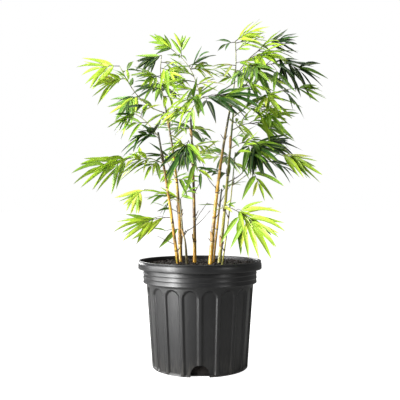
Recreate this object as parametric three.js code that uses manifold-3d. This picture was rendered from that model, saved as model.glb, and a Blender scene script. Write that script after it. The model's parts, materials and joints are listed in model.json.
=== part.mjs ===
// A young clump of bamboo growing in a black nursery pot.
// Millimetres, +Z up. The origin is the middle of the pot's flat underside, and the front is -Y.
import * as THREE from 'three';
import { mergeVertices } from 'three/addons/utils/BufferGeometryUtils.js';
import Module from 'manifold-3d';

const wasm = await Module();
wasm.setup();

// Driving sizes of the pot.
const potHeight = 241;
const rimRadius = 140;
const rimBandHeight = 20;
const beadHeight = 3.5;
const beadStep = 1.4;
const collarRadius = 128.8;
const collarFoot = 191;
const ridgeCount = 3;
const ridgeDepth = 1.6;
const grooveHeight = 0.6;
const bodyTopRadius = 121.5;
const baseRadius = 108;
const baseRounding = 2.5;
const thinWall = 2.5;
const bodyWall = 4.5;
const floorThickness = 3;
const potSides = 36;

// Arched flutes round the body, and the drain notches at its foot.
const fluteCount = 18;
const fluteWidth = 34;
const fluteDepth = 2.2;
const fluteTop = 185;
const fluteFoot = 6;
const notchCount = 2;
const notchWidth = 40;
const notchHeight = 26;
const notchReach = 14;
const archSteps = 5;
const cutterDepth = 12;

// The potting mix fills the pot to just under the rim.
const soilTop = 232;

// Touching pieces keep this gap. Knife-edged leaf masses are kept further apart.
const gap = 0.3;
const massGap = 1;
// Points closer than the first are one point, and cuts leave no step finer than the second.
const samePoint = 1e-4;
const smallestStep = 0.05;

// How finely the limbs are faceted.
const culmSides = 8;
const culmSteps = 6;
const boughSteps = 4;
const boughSides = 6;

// Culms: foot and top of the middle line, how far it bows out at half height, and its width.
const culms = {
  left_outer: { foot: [-50, -12], top: [-92, -60, 525], bow: [2, 0], width: [8, 4.4] },
  left_inner: { foot: [-45, 30], top: [-85, 40, 616], bow: [10, 4], width: [9.6, 3.8] },
  left_short: { foot: [-30, 2], top: [-46, 12, 379], bow: [0, 0], width: [7, 4.2] },
  centre: { foot: [-12, 25], top: [-21, -10, 559], bow: [2, 8], width: [8.7, 4.6] },
  right_tall: { foot: [23, -20], top: [77, 5, 630], bow: [-7, -4], width: [9.8, 4.2] },
  right_short: { foot: [30, 24], top: [51, 50, 404], bow: [0, 2], width: [7.5, 3.6] },
  right_olive: { foot: [44, 5], top: [79, 56, 589], bow: [1, 3], width: [9, 4.2] },
  right_thin: { foot: [50, -26], top: [78, -46, 482], bow: [2, 0], width: [3.8, 2.4] },
};

// Boughs: the limb each leaves, how far up it, where it goes from there, how it arches, its width.
const boughs = {
  leader: { on: 'right_tall', at: 0.97, to: [7, 12, 126], arch: [4, 0, 0], width: [4, 2.6] },
  centre_arch: { on: 'centre', at: 0.95, to: [28, -18, 66], arch: [-12, 0, 6], width: [4, 3] },
  whip: { on: 'centre_arch', at: 0.9, to: [-62, 60, 122], arch: [9, 0, 10], width: [2.8, 2] },
  top_right: { on: 'leader', at: 0.3, to: [80, 22, 82], arch: [-4, 0, 10], width: [3, 2.2] },
  right_high: { on: 'right_tall', at: 0.93, to: [103, 8, 104], arch: [4, 0, 12], width: [3.6, 2.2] },
  right_mid: { on: 'right_olive', at: 0.95, to: [134, -58, 60], arch: [0, 0, 14], width: [3.8, 2.2] },
  right_back: { on: 'right_olive', at: 0.86, to: [46, 22, 22], arch: [0, 0, 5], width: [3.4, 2.2] },
  right_centre: { on: 'right_olive', at: 0.74, to: [46, -52, 8], arch: [0, 0, 8], width: [3.2, 2.4] },
  right_fork: { on: 'right_thin', at: 0.7, to: [102, 8, 72], arch: [4, -6, 6], width: [2.6, 2] },
  right_low: { on: 'right_tall', at: 0.3, to: [37, -42, 6], arch: [0, 0, 5], width: [3, 2.4] },
  left_top: { on: 'left_inner', at: 0.96, to: [-9, 16, 120], arch: [-6, 0, 0], width: [3.6, 2.2] },
  left_high: { on: 'left_inner', at: 0.9, to: [-106, -38, 106], arch: [-8, 0, -18], width: [3.4, 2.2] },
  left_mid: { on: 'left_outer', at: 0.95, to: [-56, 36, 60], arch: [0, 0, 8], width: [3.6, 2.2] },
  left_long: { on: 'left_outer', at: 0.76, to: [-71, 20, 16], arch: [0, 0, 8], width: [3.2, 2.2] },
  left_low: { on: 'left_short', at: 0.93, to: [-84, 42, 34], arch: [0, 0, 8], width: [3.2, 2.2] },
  front_mid: { on: 'centre', at: 0.68, to: [-8, -92, 50], arch: [0, 0, 10], width: [3, 2.2] },
  back_mid: { on: 'centre', at: 0.76, to: [2, 84, 32], arch: [0, 0, 10], width: [3, 2.2] },
};

// Colours, and how rough each surface is.
const green = { lime: 0x9cc62c, fresh: 0x7aae2c, deep: 0x3f6e22, yellow: 0xc2c94a };
const finishes = {
  pot: { color: 0x3b3b3a, roughness: 0.5 },
  soil: { color: 0x2b1f17, roughness: 0.95 },
  goldCulm: { color: 0xc9922f, roughness: 0.45 },
  oliveCulm: { color: 0x8f8b37, roughness: 0.45 },
  bough: { color: 0x8f8a3c, roughness: 0.55 },
};
const oliveCulms = ['right_olive', 'right_thin'];

// Leaf masses: the limb each grows from and how far along, the way to its middle tip, how wide
// its leaves fan out, how far the fan is rolled from level, how many tips it has, and its green.
const masses = {
  top_left_far: { on: 'left_high', at: 1, to: [-102, 8, -24], fan: 60, roll: 70, tips: 5, tint: 'yellow' },
  top_left_near: { on: 'left_high', at: 0.8, to: [-74, -78, -46], fan: 70, roll: 50, tips: 6, tint: 'yellow' },
  top_left_dark: { on: 'left_top', at: 1, to: [-70, 46, -28], fan: 64, roll: 60, tips: 5, tint: 'deep' },
  apex_left: { on: 'whip', at: 1, to: [-58, -16, 24], fan: 84, roll: 62, tips: 6, tint: 'fresh' },
  apex_centre: { on: 'whip', at: 0.55, to: [72, 24, -12], fan: 84, roll: 50, tips: 6, tint: 'yellow' },
  left_drooping: { on: 'left_top', at: 0.72, to: [48, -56, -40], fan: 96, roll: 60, tips: 6, tint: 'lime' },
  left_back_high: { on: 'left_top', at: 0.35, to: [-36, 152, 8], fan: 84, roll: 25, tips: 7, tint: 'deep' },
  left_upper: { on: 'left_high', at: 0.5, to: [-76, 84, -32], fan: 66, roll: 45, tips: 6, tint: 'fresh' },
  left_middle: { on: 'left_mid', at: 1, to: [-54, -36, -46], fan: 76, roll: 60, tips: 6, tint: 'fresh' },
  left_inner_dark: { on: 'left_mid', at: 0.12, to: [-62, -96, -34], fan: 72, roll: 40, tips: 6, tint: 'deep' },
  left_long: { on: 'left_long', at: 1, to: [-120, -30, -54], fan: 56, roll: 72, tips: 7, tint: 'lime' },
  left_front: { on: 'left_long', at: 0.4, to: [-62, -92, -38], fan: 70, roll: 45, tips: 7, tint: 'lime' },
  left_low: { on: 'left_low', at: 1, to: [-64, 60, -52], fan: 60, roll: 50, tips: 6, tint: 'lime' },
  left_basal: { on: 'left_outer', at: 0.36, to: [-128, 6, -42], fan: 48, roll: 66, tips: 7, tint: 'lime' },
  front_high: { on: 'centre_arch', at: 0.85, to: [-46, -188, -44], fan: 80, roll: 30, tips: 8, tint: 'lime' },
  hub_long: { on: 'centre_arch', at: 1, to: [128, -44, -30], fan: 52, roll: 60, tips: 7, tint: 'deep' },
  hub_back: { on: 'centre', at: 0.92, to: [-30, 216, 20], fan: 72, roll: 20, tips: 8, tint: 'fresh' },
  centre_back: { on: 'right_olive', at: 0.7, to: [-20, 168, -22], fan: 84, roll: 25, tips: 7, tint: 'fresh' },
  front_drooping: { on: 'front_mid', at: 1, to: [-22, -84, -84], fan: 76, roll: 20, tips: 7, tint: 'deep' },
  back_drooping: { on: 'back_mid', at: 1, to: [-52, 104, -58], fan: 80, roll: 15, tips: 7, tint: 'fresh' },
  apex_right: { on: 'leader', at: 1, to: [74, -26, 28], fan: 78, roll: 65, tips: 7, tint: 'lime' },
  top_right_broad: { on: 'top_right', at: 0.5, to: [68, -110, -34], fan: 66, roll: 45, tips: 7, tint: 'lime' },
  top_right_dark: { on: 'top_right', at: 1, to: [78, 34, 6], fan: 48, roll: 60, tips: 5, tint: 'deep' },
  right_long: { on: 'right_high', at: 1, to: [112, 0, -82], fan: 62, roll: 74, tips: 6, tint: 'deep' },
  right_back_high: { on: 'right_high', at: 0.6, to: [54, 188, -10], fan: 76, roll: 25, tips: 8, tint: 'fresh' },
  right_far: { on: 'right_mid', at: 1, to: [78, 14, -14], fan: 48, roll: 66, tips: 5, tint: 'fresh' },
  right_drooping: { on: 'right_mid', at: 0.6, to: [-18, -126, -52], fan: 76, roll: 25, tips: 7, tint: 'lime' },
  right_inner: { on: 'top_right', at: 0.3, to: [34, -136, -66], fan: 54, roll: 35, tips: 6, tint: 'fresh' },
  right_middle: { on: 'right_back', at: 1, to: [116, 66, -44], fan: 72, roll: 58, tips: 7, tint: 'fresh' },
  right_level: { on: 'right_centre', at: 1, to: [116, 8, -8], fan: 46, roll: 62, tips: 6, tint: 'deep' },
  right_hanging: { on: 'right_centre', at: 0.75, to: [50, -112, -72], fan: 70, roll: 30, tips: 7, tint: 'deep' },
  right_lower: { on: 'right_fork', at: 1, to: [98, -22, -46], fan: 58, roll: 60, tips: 7, tint: 'lime' },
  right_basal: { on: 'right_low', at: 1, to: [98, -76, -92], fan: 84, roll: 62, tips: 9, tint: 'lime' },
};

// A leaf mass's shape. The hub lies a share of the reach from the bud. Shoulders, ribs and the
// valleys between the tips lie at shares of each tip's length, and each tip arches by a share of it.
const hubShare = 0.14;
const shoulderShare = 0.56;
const ribShare = 0.5;
const valleyShare = 0.3;
const archShare = 0.1;
const outerShortening = 0.26;
const unevenness = 0.16;
const twistRange = 0.24;
const tipHalfWidth = 8.5;
const crowding = 0.4; // share of the room between two tips that one half width takes
const hubHalfThickness = 5;
const ribHalfThickness = 3.4;
// The mass starts this far behind the bud, so that it closes round the end of its bough.
const rootSetback = 7;

const up = new THREE.Vector3(0, 0, 1);

// A repeatable random number from 0 to 1 for each mass and tip.
function scatter(seed, index) {
  const wave = Math.sin(seed * 12.9898 + index * 78.233) * 43758.5453;
  return wave - Math.floor(wave);
}

function solidFromLists(positions, indices) {
  return new wasm.Manifold(new wasm.Mesh({
    numProp: 3,
    vertProperties: new Float32Array(positions),
    triVerts: new Uint32Array(indices),
  }));
}

function solidFrom(geometry) {
  const bare = geometry.clone();
  bare.deleteAttribute('normal');
  bare.deleteAttribute('uv');
  const merged = mergeVertices(bare, samePoint);
  return solidFromLists(merged.attributes.position.array, merged.index.array);
}

function geometryFrom(solid) {
  const mesh = solid.simplify(smallestStep).getMesh();
  const geometry = new THREE.BufferGeometry();
  geometry.setAttribute('position', new THREE.BufferAttribute(mesh.vertProperties, 3));
  geometry.setIndex(new THREE.BufferAttribute(mesh.triVerts, 1));
  const flat = geometry.toNonIndexed();
  flat.computeVertexNormals();
  return flat;
}

// A cut can leave crumbs: only the largest piece is kept.
function largestPiece(solid) {
  const pieces = solid.decompose();
  pieces.sort((one, two) => two.volume() - one.volume());
  return pieces[0];
}

function boxesMeet(one, two) {
  const first = one.boundingBox();
  const second = two.boundingBox();
  return [0, 1, 2].every((k) => first.min[k] < second.max[k] && second.min[k] < first.max[k]);
}

function cutBy(solid, cutters) {
  let left = solid;
  for (const cutter of cutters) {
    if (boxesMeet(left, cutter)) {
      left = left.subtract(cutter);
    }
  }
  return largestPiece(left);
}

function bodyRadiusAt(height) {
  return THREE.MathUtils.lerp(baseRadius, bodyTopRadius, height / collarFoot);
}

function latheUp(profile, sides) {
  const points = profile.map(([radius, height]) => new THREE.Vector2(radius, height));
  return new THREE.LatheGeometry(points, sides).rotateX(Math.PI / 2);
}

const rimFoot = potHeight - rimBandHeight;
const rimInnerRadius = rimRadius - 5.5;
const collarInnerRadius = collarRadius - ridgeDepth - thinWall;

// Stepped ridges under the rim, each standing out over a groove.
function collarProfile() {
  const profile = [];
  const ridgeHeight = (rimFoot - collarFoot) / ridgeCount;
  for (let ridge = 0; ridge < ridgeCount; ridge += 1) {
    const foot = collarFoot + ridge * ridgeHeight;
    profile.push([collarRadius - ridgeDepth, foot]);
    profile.push([collarRadius, foot + ridgeDepth]);
    profile.push([collarRadius, foot + ridgeHeight - grooveHeight]);
  }
  return profile;
}

function potShell() {
  const bandTop = potHeight - beadHeight;
  const profile = [
    [0, 0],
    [baseRadius - baseRounding, 0],
    [bodyRadiusAt(baseRounding), baseRounding],
    [bodyTopRadius, collarFoot],
    ...collarProfile(),
    [collarRadius - ridgeDepth, rimFoot],
    [rimRadius, rimFoot + 1],
    [rimRadius, bandTop],
    [rimRadius - beadStep, bandTop],
    [rimRadius - beadStep, potHeight],
    [rimInnerRadius, potHeight],
    [rimInnerRadius, rimFoot + 1 + thinWall],
    [collarInnerRadius, rimFoot + thinWall],
    [collarInnerRadius, collarFoot + thinWall],
    [bodyTopRadius - bodyWall, collarFoot + thinWall],
    [bodyRadiusAt(floorThickness) - bodyWall, floorThickness],
    [0, floorThickness],
  ];
  return solidFrom(latheUp(profile, potSides));
}

// An upright round-topped plate whose face looks along +X, standing from foot to top.
function archPlate(width, foot, top, depth) {
  const half = width / 2;
  const arch = new THREE.Shape();
  arch.moveTo(-half, foot);
  arch.lineTo(half, foot);
  arch.lineTo(half, top - half);
  arch.absarc(0, top - half, half, 0, Math.PI, false);
  arch.lineTo(-half, foot);
  const plate = new THREE.ExtrudeGeometry(arch, { depth, bevelEnabled: false, curveSegments: archSteps });
  return plate.rotateX(Math.PI / 2).rotateZ(Math.PI / 2);
}

// One flute: the arch leans with the body's taper, so that it is as deep at the foot as at the top.
function fluteCutter(turn) {
  const lean = Math.atan2(bodyTopRadius - baseRadius, collarFoot);
  const flute = archPlate(fluteWidth, fluteFoot, fluteTop, cutterDepth);
  flute.rotateY(lean);
  flute.translate(bodyRadiusAt(0) - fluteDepth, 0, 0);
  return solidFrom(flute.rotateZ(turn));
}

// A notch goes through the wall and a little way in over the floor, which it opens at the edge.
function notchCutter(turn) {
  const notch = archPlate(notchWidth, -cutterDepth, notchHeight, notchReach * 2);
  notch.translate(baseRadius - notchReach, 0, 0);
  return solidFrom(notch.rotateZ(turn));
}

// The notches stand at the front and the back, each under a rib between two flutes.
function pot() {
  let shell = potShell();
  for (let flute = 0; flute < fluteCount; flute += 1) {
    shell = shell.subtract(fluteCutter((flute / fluteCount) * 2 * Math.PI));
  }
  for (let notch = 0; notch < notchCount; notch += 1) {
    shell = shell.subtract(notchCutter((notch / notchCount - 0.25) * 2 * Math.PI));
  }
  return largestPiece(shell);
}

// The mix follows the inside of the pot, and draws in at its foot to clear the drain notches.
function soil() {
  const shoulder = notchHeight * 2;
  const profile = [
    [0, floorThickness + gap],
    [baseRadius - notchReach - gap, floorThickness + gap],
    [bodyRadiusAt(shoulder) - bodyWall - gap, shoulder],
    [bodyTopRadius - bodyWall - gap, collarFoot + thinWall + gap],
    [collarInnerRadius - gap, collarFoot + thinWall + gap],
    [collarInnerRadius - gap, rimFoot + thinWall + gap],
    [rimInnerRadius - gap, rimFoot + 1 + thinWall + gap],
    [rimInnerRadius - gap, soilTop],
    [0, soilTop],
  ];
  return solidFrom(latheUp(profile, potSides));
}

// A middle line from start to end that bows sideways by the arch at half way.
function archedLine(start, end, arch, steps) {
  const points = [];
  for (let step = 0; step <= steps; step += 1) {
    const share = step / steps;
    const point = start.clone().lerp(end, share);
    points.push(point.addScaledVector(arch, Math.sin(share * Math.PI)));
  }
  return new THREE.CatmullRomCurve3(points);
}

// A limb: rings of a tapering tube along its middle line, closed at both ends by flat caps.
// A culm's foot is cut level.
function limbSolid(limb, extra) {
  const positions = [];
  const indices = [];
  for (let step = 0; step <= limb.steps; step += 1) {
    const share = step / limb.steps;
    const middle = limb.line.getPoint(share);
    const forward = step === 0 && limb.levelFoot ? up : limb.line.getTangent(share);
    const turn = new THREE.Quaternion().setFromUnitVectors(up, forward);
    const radius = THREE.MathUtils.lerp(limb.width[0], limb.width[1], share) / 2 + extra;
    for (let side = 0; side < limb.sides; side += 1) {
      const angle = (side / limb.sides) * 2 * Math.PI;
      const offset = new THREE.Vector3(Math.cos(angle) * radius, Math.sin(angle) * radius, 0);
      positions.push(...middle.clone().add(offset.applyQuaternion(turn)).toArray());
    }
  }
  for (let step = 0; step < limb.steps; step += 1) {
    for (let side = 0; side < limb.sides; side += 1) {
      const here = step * limb.sides + side;
      const beside = step * limb.sides + ((side + 1) % limb.sides);
      indices.push(here, beside, beside + limb.sides);
      indices.push(here, beside + limb.sides, here + limb.sides);
    }
  }
  const last = limb.steps * limb.sides;
  for (let side = 1; side < limb.sides - 1; side += 1) {
    indices.push(0, side + 1, side);
    indices.push(last, last + side, last + side + 1);
  }
  return solidFromLists(positions, indices);
}

function culmLimb({ foot, top, bow, width }) {
  const start = new THREE.Vector3(foot[0], foot[1], soilTop + gap);
  const end = new THREE.Vector3(...top);
  const line = archedLine(start, end, new THREE.Vector3(bow[0], bow[1], 0), culmSteps);
  return { line, width, steps: culmSteps, sides: culmSides, levelFoot: true };
}

function boughLimb({ on, at, to, arch, width }, limbs) {
  const start = limbs[on].line.getPoint(at);
  const end = start.clone().add(new THREE.Vector3(...to));
  const line = archedLine(start, end, new THREE.Vector3(...arch), boughSteps);
  return { line, width, steps: boughSteps, sides: boughSides, levelFoot: false };
}

// The fan's own directions: along its middle, across it, and out of its face.
function fanAxes(reach, roll) {
  const along = reach.clone().normalize();
  const across = new THREE.Vector3().crossVectors(along, up).normalize();
  across.applyAxisAngle(along, THREE.MathUtils.degToRad(roll));
  const out = new THREE.Vector3().crossVectors(along, across);
  return { along, across, out };
}

// The middle line of each tip, from the hub outwards. The outer ones are shorter, and crowded ones are narrower.
function tipLines(mass, hub, axes, length, seed) {
  const lines = [];
  for (let tip = 0; tip < mass.tips; tip += 1) {
    const share = tip / (mass.tips - 1) - 0.5;
    const angle = THREE.MathUtils.degToRad(mass.fan) * share;
    const uneven = 1 + unevenness * (scatter(seed, tip) - 0.5) * 2;
    const size = length * (1 - outerShortening * Math.abs(share) * 2) * uneven;
    const heading = axes.along.clone().multiplyScalar(Math.cos(angle));
    heading.addScaledVector(axes.across, Math.sin(angle));
    const side = new THREE.Vector3().crossVectors(axes.out, heading);
    const twist = (scatter(seed, tip + mass.tips) - 0.5) * twistRange;
    heading.addScaledVector(axes.out, twist).normalize();
    lines.push({
      size,
      side,
      at: (part) => hub.clone()
        .addScaledVector(heading, size * part)
        .addScaledVector(up, 4 * archShare * size * part * (1 - part)),
    });
  }
  const shoulders = lines.map((line) => line.at(shoulderShare));
  lines.forEach((line, tip) => {
    const beside = [shoulders[tip - 1], shoulders[tip + 1]].filter(Boolean);
    const room = Math.min(...beside.map((other) => other.distanceTo(shoulders[tip])));
    line.halfWidth = Math.min(tipHalfWidth, room * crowding);
  });
  return lines;
}

// One leaf mass: a many-tipped pad, thickest at the hub where the bough enters it.
function massSolid(mass, limbs, seed, extra) {
  const reach = new THREE.Vector3(...mass.to);
  const axes = fanAxes(reach, mass.roll);
  const bud = limbs[mass.on].line.getPoint(mass.at);
  const root = bud.clone().addScaledVector(axes.along, -rootSetback - extra);
  const hub = bud.clone().addScaledVector(axes.along, reach.length() * hubShare);
  const length = reach.length() * (1 - hubShare) + extra;
  const lines = tipLines(mass, hub, axes, length, seed);

  const points = [];
  const add = (point) => points.push(point) - 1;
  const rootAt = add(root);
  const hubOver = add(hub.clone().addScaledVector(axes.out, hubHalfThickness + extra));
  const hubUnder = add(hub.clone().addScaledVector(axes.out, -hubHalfThickness - extra));

  const valleys = [];
  for (let valley = 0; valley <= mass.tips; valley += 1) {
    const before = lines[Math.max(valley - 1, 0)];
    const after = lines[Math.min(valley, mass.tips - 1)];
    const middle = before.at(valleyShare).lerp(after.at(valleyShare), 0.5);
    middle.addScaledVector(axes.along, extra * 2);
    if (valley === 0) {
      middle.addScaledVector(after.side, -after.halfWidth - extra);
    }
    if (valley === mass.tips) {
      middle.addScaledVector(before.side, before.halfWidth + extra);
    }
    valleys.push(add(middle));
  }

  const indices = [];
  const face = (a, b, c) => indices.push(a, b, c);
  face(hubOver, rootAt, valleys[0]);
  face(hubUnder, valleys[0], rootAt);
  face(hubOver, valleys[mass.tips], rootAt);
  face(hubUnder, rootAt, valleys[mass.tips]);
  lines.forEach((line, tip) => {
    const halfWidth = line.halfWidth + extra;
    const near = add(line.at(shoulderShare).addScaledVector(line.side, -halfWidth));
    const far = add(line.at(shoulderShare).addScaledVector(line.side, halfWidth));
    const end = add(line.at(1));
    const ribOver = add(line.at(ribShare).addScaledVector(axes.out, ribHalfThickness + extra));
    const ribUnder = add(line.at(ribShare).addScaledVector(axes.out, -ribHalfThickness - extra));
    const outline = [valleys[tip], near, end, far, valleys[tip + 1]];
    face(hubOver, valleys[tip], ribOver);
    face(hubUnder, ribUnder, valleys[tip]);
    for (let edge = 0; edge < outline.length - 1; edge += 1) {
      face(ribOver, outline[edge], outline[edge + 1]);
      face(ribUnder, outline[edge + 1], outline[edge]);
    }
    face(hubOver, ribOver, valleys[tip + 1]);
    face(hubUnder, valleys[tip + 1], ribUnder);
  });
  return solidFromLists(points.flatMap((point) => point.toArray()), indices);
}

const group = new THREE.Group();

function addNode(name, solid, { color, roughness }) {
  const material = new THREE.MeshStandardMaterial({ color, roughness, metalness: 0 });
  const mesh = new THREE.Mesh(geometryFrom(solid), material);
  mesh.name = name;
  group.add(mesh);
}

addNode('pot', pot(), finishes.pot);
addNode('soil', soil(), finishes.soil);

const limbs = {};
const placed = [];

for (const [name, culm] of Object.entries(culms)) {
  limbs[name] = culmLimb(culm);
  const finish = oliveCulms.includes(name) ? finishes.oliveCulm : finishes.goldCulm;
  addNode(`culm_${name}`, limbSolid(limbs[name], 0), finish);
  placed.push(limbSolid(limbs[name], gap));
}

for (const [name, bough] of Object.entries(boughs)) {
  limbs[name] = boughLimb(bough, limbs);
  addNode(`bough_${name}`, cutBy(limbSolid(limbs[name], 0), placed), finishes.bough);
  placed.push(limbSolid(limbs[name], gap));
}

Object.entries(masses).forEach(([name, mass], index) => {
  const whole = massSolid(mass, limbs, index + 1, 0);
  const finish = { color: green[mass.tint], roughness: 0.55 };
  addNode(`leaves_${name}`, cutBy(whole, placed), finish);
  placed.push(massSolid(mass, limbs, index + 1, massGap).add(whole));
});

export default group;
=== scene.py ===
import json
import math
import random

import bpy
import numpy as np
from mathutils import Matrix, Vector, noise


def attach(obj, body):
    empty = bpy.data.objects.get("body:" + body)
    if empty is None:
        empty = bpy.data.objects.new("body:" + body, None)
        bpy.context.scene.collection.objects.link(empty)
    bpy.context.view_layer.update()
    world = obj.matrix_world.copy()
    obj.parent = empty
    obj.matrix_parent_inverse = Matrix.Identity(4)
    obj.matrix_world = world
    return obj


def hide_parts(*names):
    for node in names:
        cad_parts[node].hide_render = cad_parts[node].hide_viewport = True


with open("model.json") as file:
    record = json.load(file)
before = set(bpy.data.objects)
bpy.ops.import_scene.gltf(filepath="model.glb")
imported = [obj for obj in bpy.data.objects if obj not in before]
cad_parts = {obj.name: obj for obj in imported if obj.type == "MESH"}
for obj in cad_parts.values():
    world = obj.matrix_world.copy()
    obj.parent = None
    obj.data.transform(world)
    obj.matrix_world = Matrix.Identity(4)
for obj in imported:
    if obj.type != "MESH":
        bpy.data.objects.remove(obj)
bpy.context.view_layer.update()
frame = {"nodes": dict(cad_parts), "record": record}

cadNodes = frame["nodes"]
millimetre = 0.001
up = np.array((0.0, 0.0, 1.0))
print("frame loaded:", len(cadNodes), "nodes")


def linear(hexColour):
    parts = [int(hexColour[i:i + 2], 16) / 255 for i in (1, 3, 5)]
    return [p / 12.92 if p <= 0.04045 else ((p + 0.055) / 1.055) ** 2.4 for p in parts] + [1]


# Adds a node: sockets among the inputs are linked, anything else is set.
def addNode(tree, kind, inputs=None, **settings):
    node = tree.nodes.new(kind)
    for name, value in settings.items():
        setattr(node, name, value)
    for name, value in (inputs or {}).items():
        if isinstance(value, bpy.types.NodeSocket):
            tree.links.new(value, node.inputs[name])
        else:
            node.inputs[name].default_value = value
    return node


def startMaterial(name):
    material = bpy.data.materials.new(name)
    material.use_nodes = True
    material.node_tree.nodes.clear()
    return material, material.node_tree


def finishMaterial(tree, surface):
    shader = addNode(tree, "ShaderNodeBsdfPrincipled", surface)
    addNode(tree, "ShaderNodeOutputMaterial", {"Surface": shader.outputs["BSDF"]})


# The nodes that materials repeat. Each gives back the socket that holds its result.
def ranged(tree, value, source, target=(0, 1)):
    return addNode(tree, "ShaderNodeMapRange", {
        "Value": value, "From Min": source[0], "From Max": source[1],
        "To Min": target[0], "To Max": target[1],
    }).outputs["Result"]


def mixed(tree, share, first, second):
    return addNode(tree, "ShaderNodeMix", {
        "Factor": share, 6: first, 7: second,
    }, data_type="RGBA").outputs[2]


def noisy(tree, where, scale, detail):
    return addNode(tree, "ShaderNodeTexNoise", {
        "Vector": where, "Scale": scale, "Detail": detail,
    }).outputs["Fac"]


def scaled(tree, where, scale):
    return addNode(tree, "ShaderNodeMapping", {"Vector": where, "Scale": scale}).outputs["Vector"]


def maths(tree, operation, *values):
    node = addNode(tree, "ShaderNodeMath", dict(enumerate(values)), operation=operation)
    return node.outputs["Value"]


def bumped(tree, height, strength, distance):
    return addNode(tree, "ShaderNodeBump", {
        "Height": height, "Strength": strength, "Distance": distance,
    }).outputs["Normal"]


def deselectAll():
    if bpy.context.object and bpy.context.object.mode != "OBJECT":
        bpy.ops.object.mode_set(mode="OBJECT")
    bpy.ops.object.select_all(action="DESELECT")


def selectOnly(obj):
    deselectAll()
    obj.select_set(True)
    bpy.context.view_layer.objects.active = obj


def unit(vector):
    return vector / max(np.linalg.norm(vector), 1e-9)


def smoothStep(share):
    share = np.clip(share, 0, 1)
    return share * share * (3 - 2 * share)


camera = {  # metres, and the sensor in millimetres
    "distance": 1.5,
    "height": 0.36,
    "aimHeight": 0.377,
    "fieldWidth": 0.912,
    "sensorWidth": 36,
}
cameraTilt = math.atan2(camera["aimHeight"] - camera["height"], camera["distance"])
bpy.ops.object.camera_add(
    location=(0, -camera["distance"], camera["height"]),
    rotation=(math.pi / 2 + cameraTilt, 0, 0),
)
cameraObject = bpy.context.object
cameraObject.data.sensor_width = camera["sensorWidth"]
cameraObject.data.lens = camera["sensorWidth"] * camera["distance"] / camera["fieldWidth"]
bpy.context.scene.camera = cameraObject
bpy.context.scene.view_settings.view_transform = "Standard"

studio = {
    "floorSize": 80,
    "floorColour": "#A8A8A6",
    "floorGlow": 1.0,
    "backdrop": 1.0,
    "ambient": 0.27,
    "target": (0, 0, 0.4),
    "lamps": {  # place, width and height of the lamp, power
        "keyLamp": ((-1.75, -1.0, 1.25), (1.1, 1.1), 56),
        "stripLamp": ((-1.25, -0.95, 0.35), (0.35, 0.9), 46),
        "sideLamp": ((-2.1, -0.2, 0.5), (1.3, 1.1), 44),
        "fillLamp": ((1.3, -1.2, 0.7), (0.3, 0.7), 5),
        "rimLamp": ((-1.05, 1.5, 0.9), (0.6, 1.0), 30),
        "topLamp": ((0.3, 0.1, 2.3), (1.0, 1.0), 16),
    },
}


def buildStudio():
    bpy.ops.mesh.primitive_plane_add(size=studio["floorSize"], location=(0, 0, -0.0004))
    floor = bpy.context.object
    floor.name = "studioFloor"
    # Seen directly the paper is as white as the studio, and it throws only a soft light back.
    material, tree = startMaterial("mattePaperFloor")
    rays = addNode(tree, "ShaderNodeLightPath")
    glow = addNode(tree, "ShaderNodeMapRange", {
        "Value": rays.outputs["Is Camera Ray"], "To Max": studio["floorGlow"],
    })
    finishMaterial(tree, {
        "Base Color": linear(studio["floorColour"]),
        "Roughness": 0.9,
        "Emission Color": (1, 1, 1, 1),
        "Emission Strength": glow.outputs["Result"],
    })
    floor.data.materials.append(material)

    for name, (place, (width, height), power) in studio["lamps"].items():
        bpy.ops.object.light_add(type="AREA", location=place)
        lamp = bpy.context.object
        lamp.name = name
        lamp.data.shape = "RECTANGLE"
        lamp.data.size = width
        lamp.data.size_y = height
        lamp.data.energy = power
        aim = Vector(studio["target"]) - Vector(place)
        lamp.rotation_euler = aim.to_track_quat("-Z", "Y").to_euler()

    # The studio is white to look at, and a softer light to everything it shines on.
    world = bpy.data.worlds.new("studioWorld")
    bpy.context.scene.world = world
    world.use_nodes = True
    tree = world.node_tree
    tree.nodes.clear()
    rays = addNode(tree, "ShaderNodeLightPath")
    level = addNode(tree, "ShaderNodeMapRange", {
        "Value": rays.outputs["Is Camera Ray"],
        "To Min": studio["ambient"],
        "To Max": studio["backdrop"],
    })
    backdrop = addNode(tree, "ShaderNodeBackground", {
        "Color": (1, 1, 1, 1), "Strength": level.outputs["Result"],
    })
    addNode(tree, "ShaderNodeOutputWorld", {"Surface": backdrop.outputs["Background"]})


buildStudio()
print("studio ready")


potShape = {  # millimetres
    "spinSteps": 540,
    "rimRadius": 140,
    "rimFoot": 221,
    "rimInner": 134.6,
    "top": 241,
    "collarRadius": 128.8,
    "collarFoot": 191,
    "collarInner": 125,
    "ridges": 3,
    "ridgeDepth": 0.7,
    "bodyTopRadius": 121.5,
    "baseRadius": 108,
    "wall": 2.4,
    "floor": 3,
    "flutes": 18,
    "fluteHalfWidth": 18,
    "fluteTop": 185,
    "fluteDepth": 3.8,
    "fluteBevel": 3.4,
    "notches": 2,
    "notchHalfWidth": 20,
    "notchTop": 26,
    "notchSides": 64,
    "creaseAngle": 38,  # degrees
}
wallSlope = (potShape["bodyTopRadius"] - potShape["baseRadius"]) / potShape["collarFoot"]


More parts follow.
